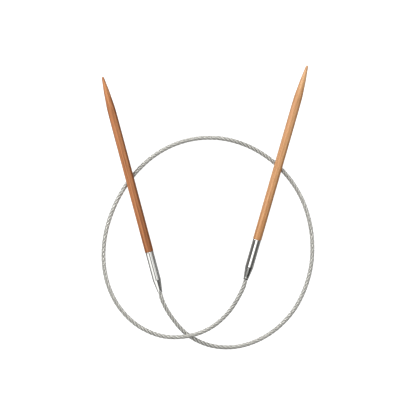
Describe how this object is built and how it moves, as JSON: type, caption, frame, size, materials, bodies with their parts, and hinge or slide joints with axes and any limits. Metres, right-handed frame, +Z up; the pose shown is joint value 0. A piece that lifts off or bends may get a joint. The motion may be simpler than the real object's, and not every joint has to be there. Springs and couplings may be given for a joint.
{
  "type": "circular knitting needle",
  "caption": "Fixed circular knitting needle: pointed bamboo tips in tapered steel ferrules, joined by a nylon-coated wire-rope cable.",
  "frame": {"origin": "on the surface the needle lies on, at the middle of the box around the two needles and ferrules", "axes": "+Y towards the needle points, +X to the right seen from above, +Z up"},
  "size_m": [0.1047, 0.1392, 0.0082],
  "materials": {
    "bamboo_dark": "satin, oiled, fine lengthwise grain",
    "bamboo_light": "satin, oiled, fine lengthwise grain",
    "ferrule_steel": "polished",
    "stop_steel": "crimped, dull",
    "jacket_nylon": "clear, glossy",
    "rope_steel": "bright drawn wire"
  },
  "bodies": {
    "cable": {"cable_jacket": "jacket_nylon", "cable_rope": "rope_steel", "cable_stop_left": "stop_steel", "cable_stop_right": "stop_steel"},
    "left_tip": {"needle_left": "bamboo_dark", "ferrule_left": "ferrule_steel"},
    "right_tip": {"needle_right": "bamboo_light", "ferrule_right": "ferrule_steel"}
  },
  "joints": [
    {"name": "left_swivel", "type": "hinge", "parent": "cable", "child": "left_tip", "pos_m": [-0.0217, -0.0551, 0.0017], "axis": [-0.2568, 0.9652, 0.0484], "continuous": true},
    {"name": "right_swivel", "type": "hinge", "parent": "cable", "child": "right_tip", "pos_m": [0.0202, -0.049, 0.0017], "axis": [0.2762, 0.9599, 0.0476], "continuous": true}
  ]
}
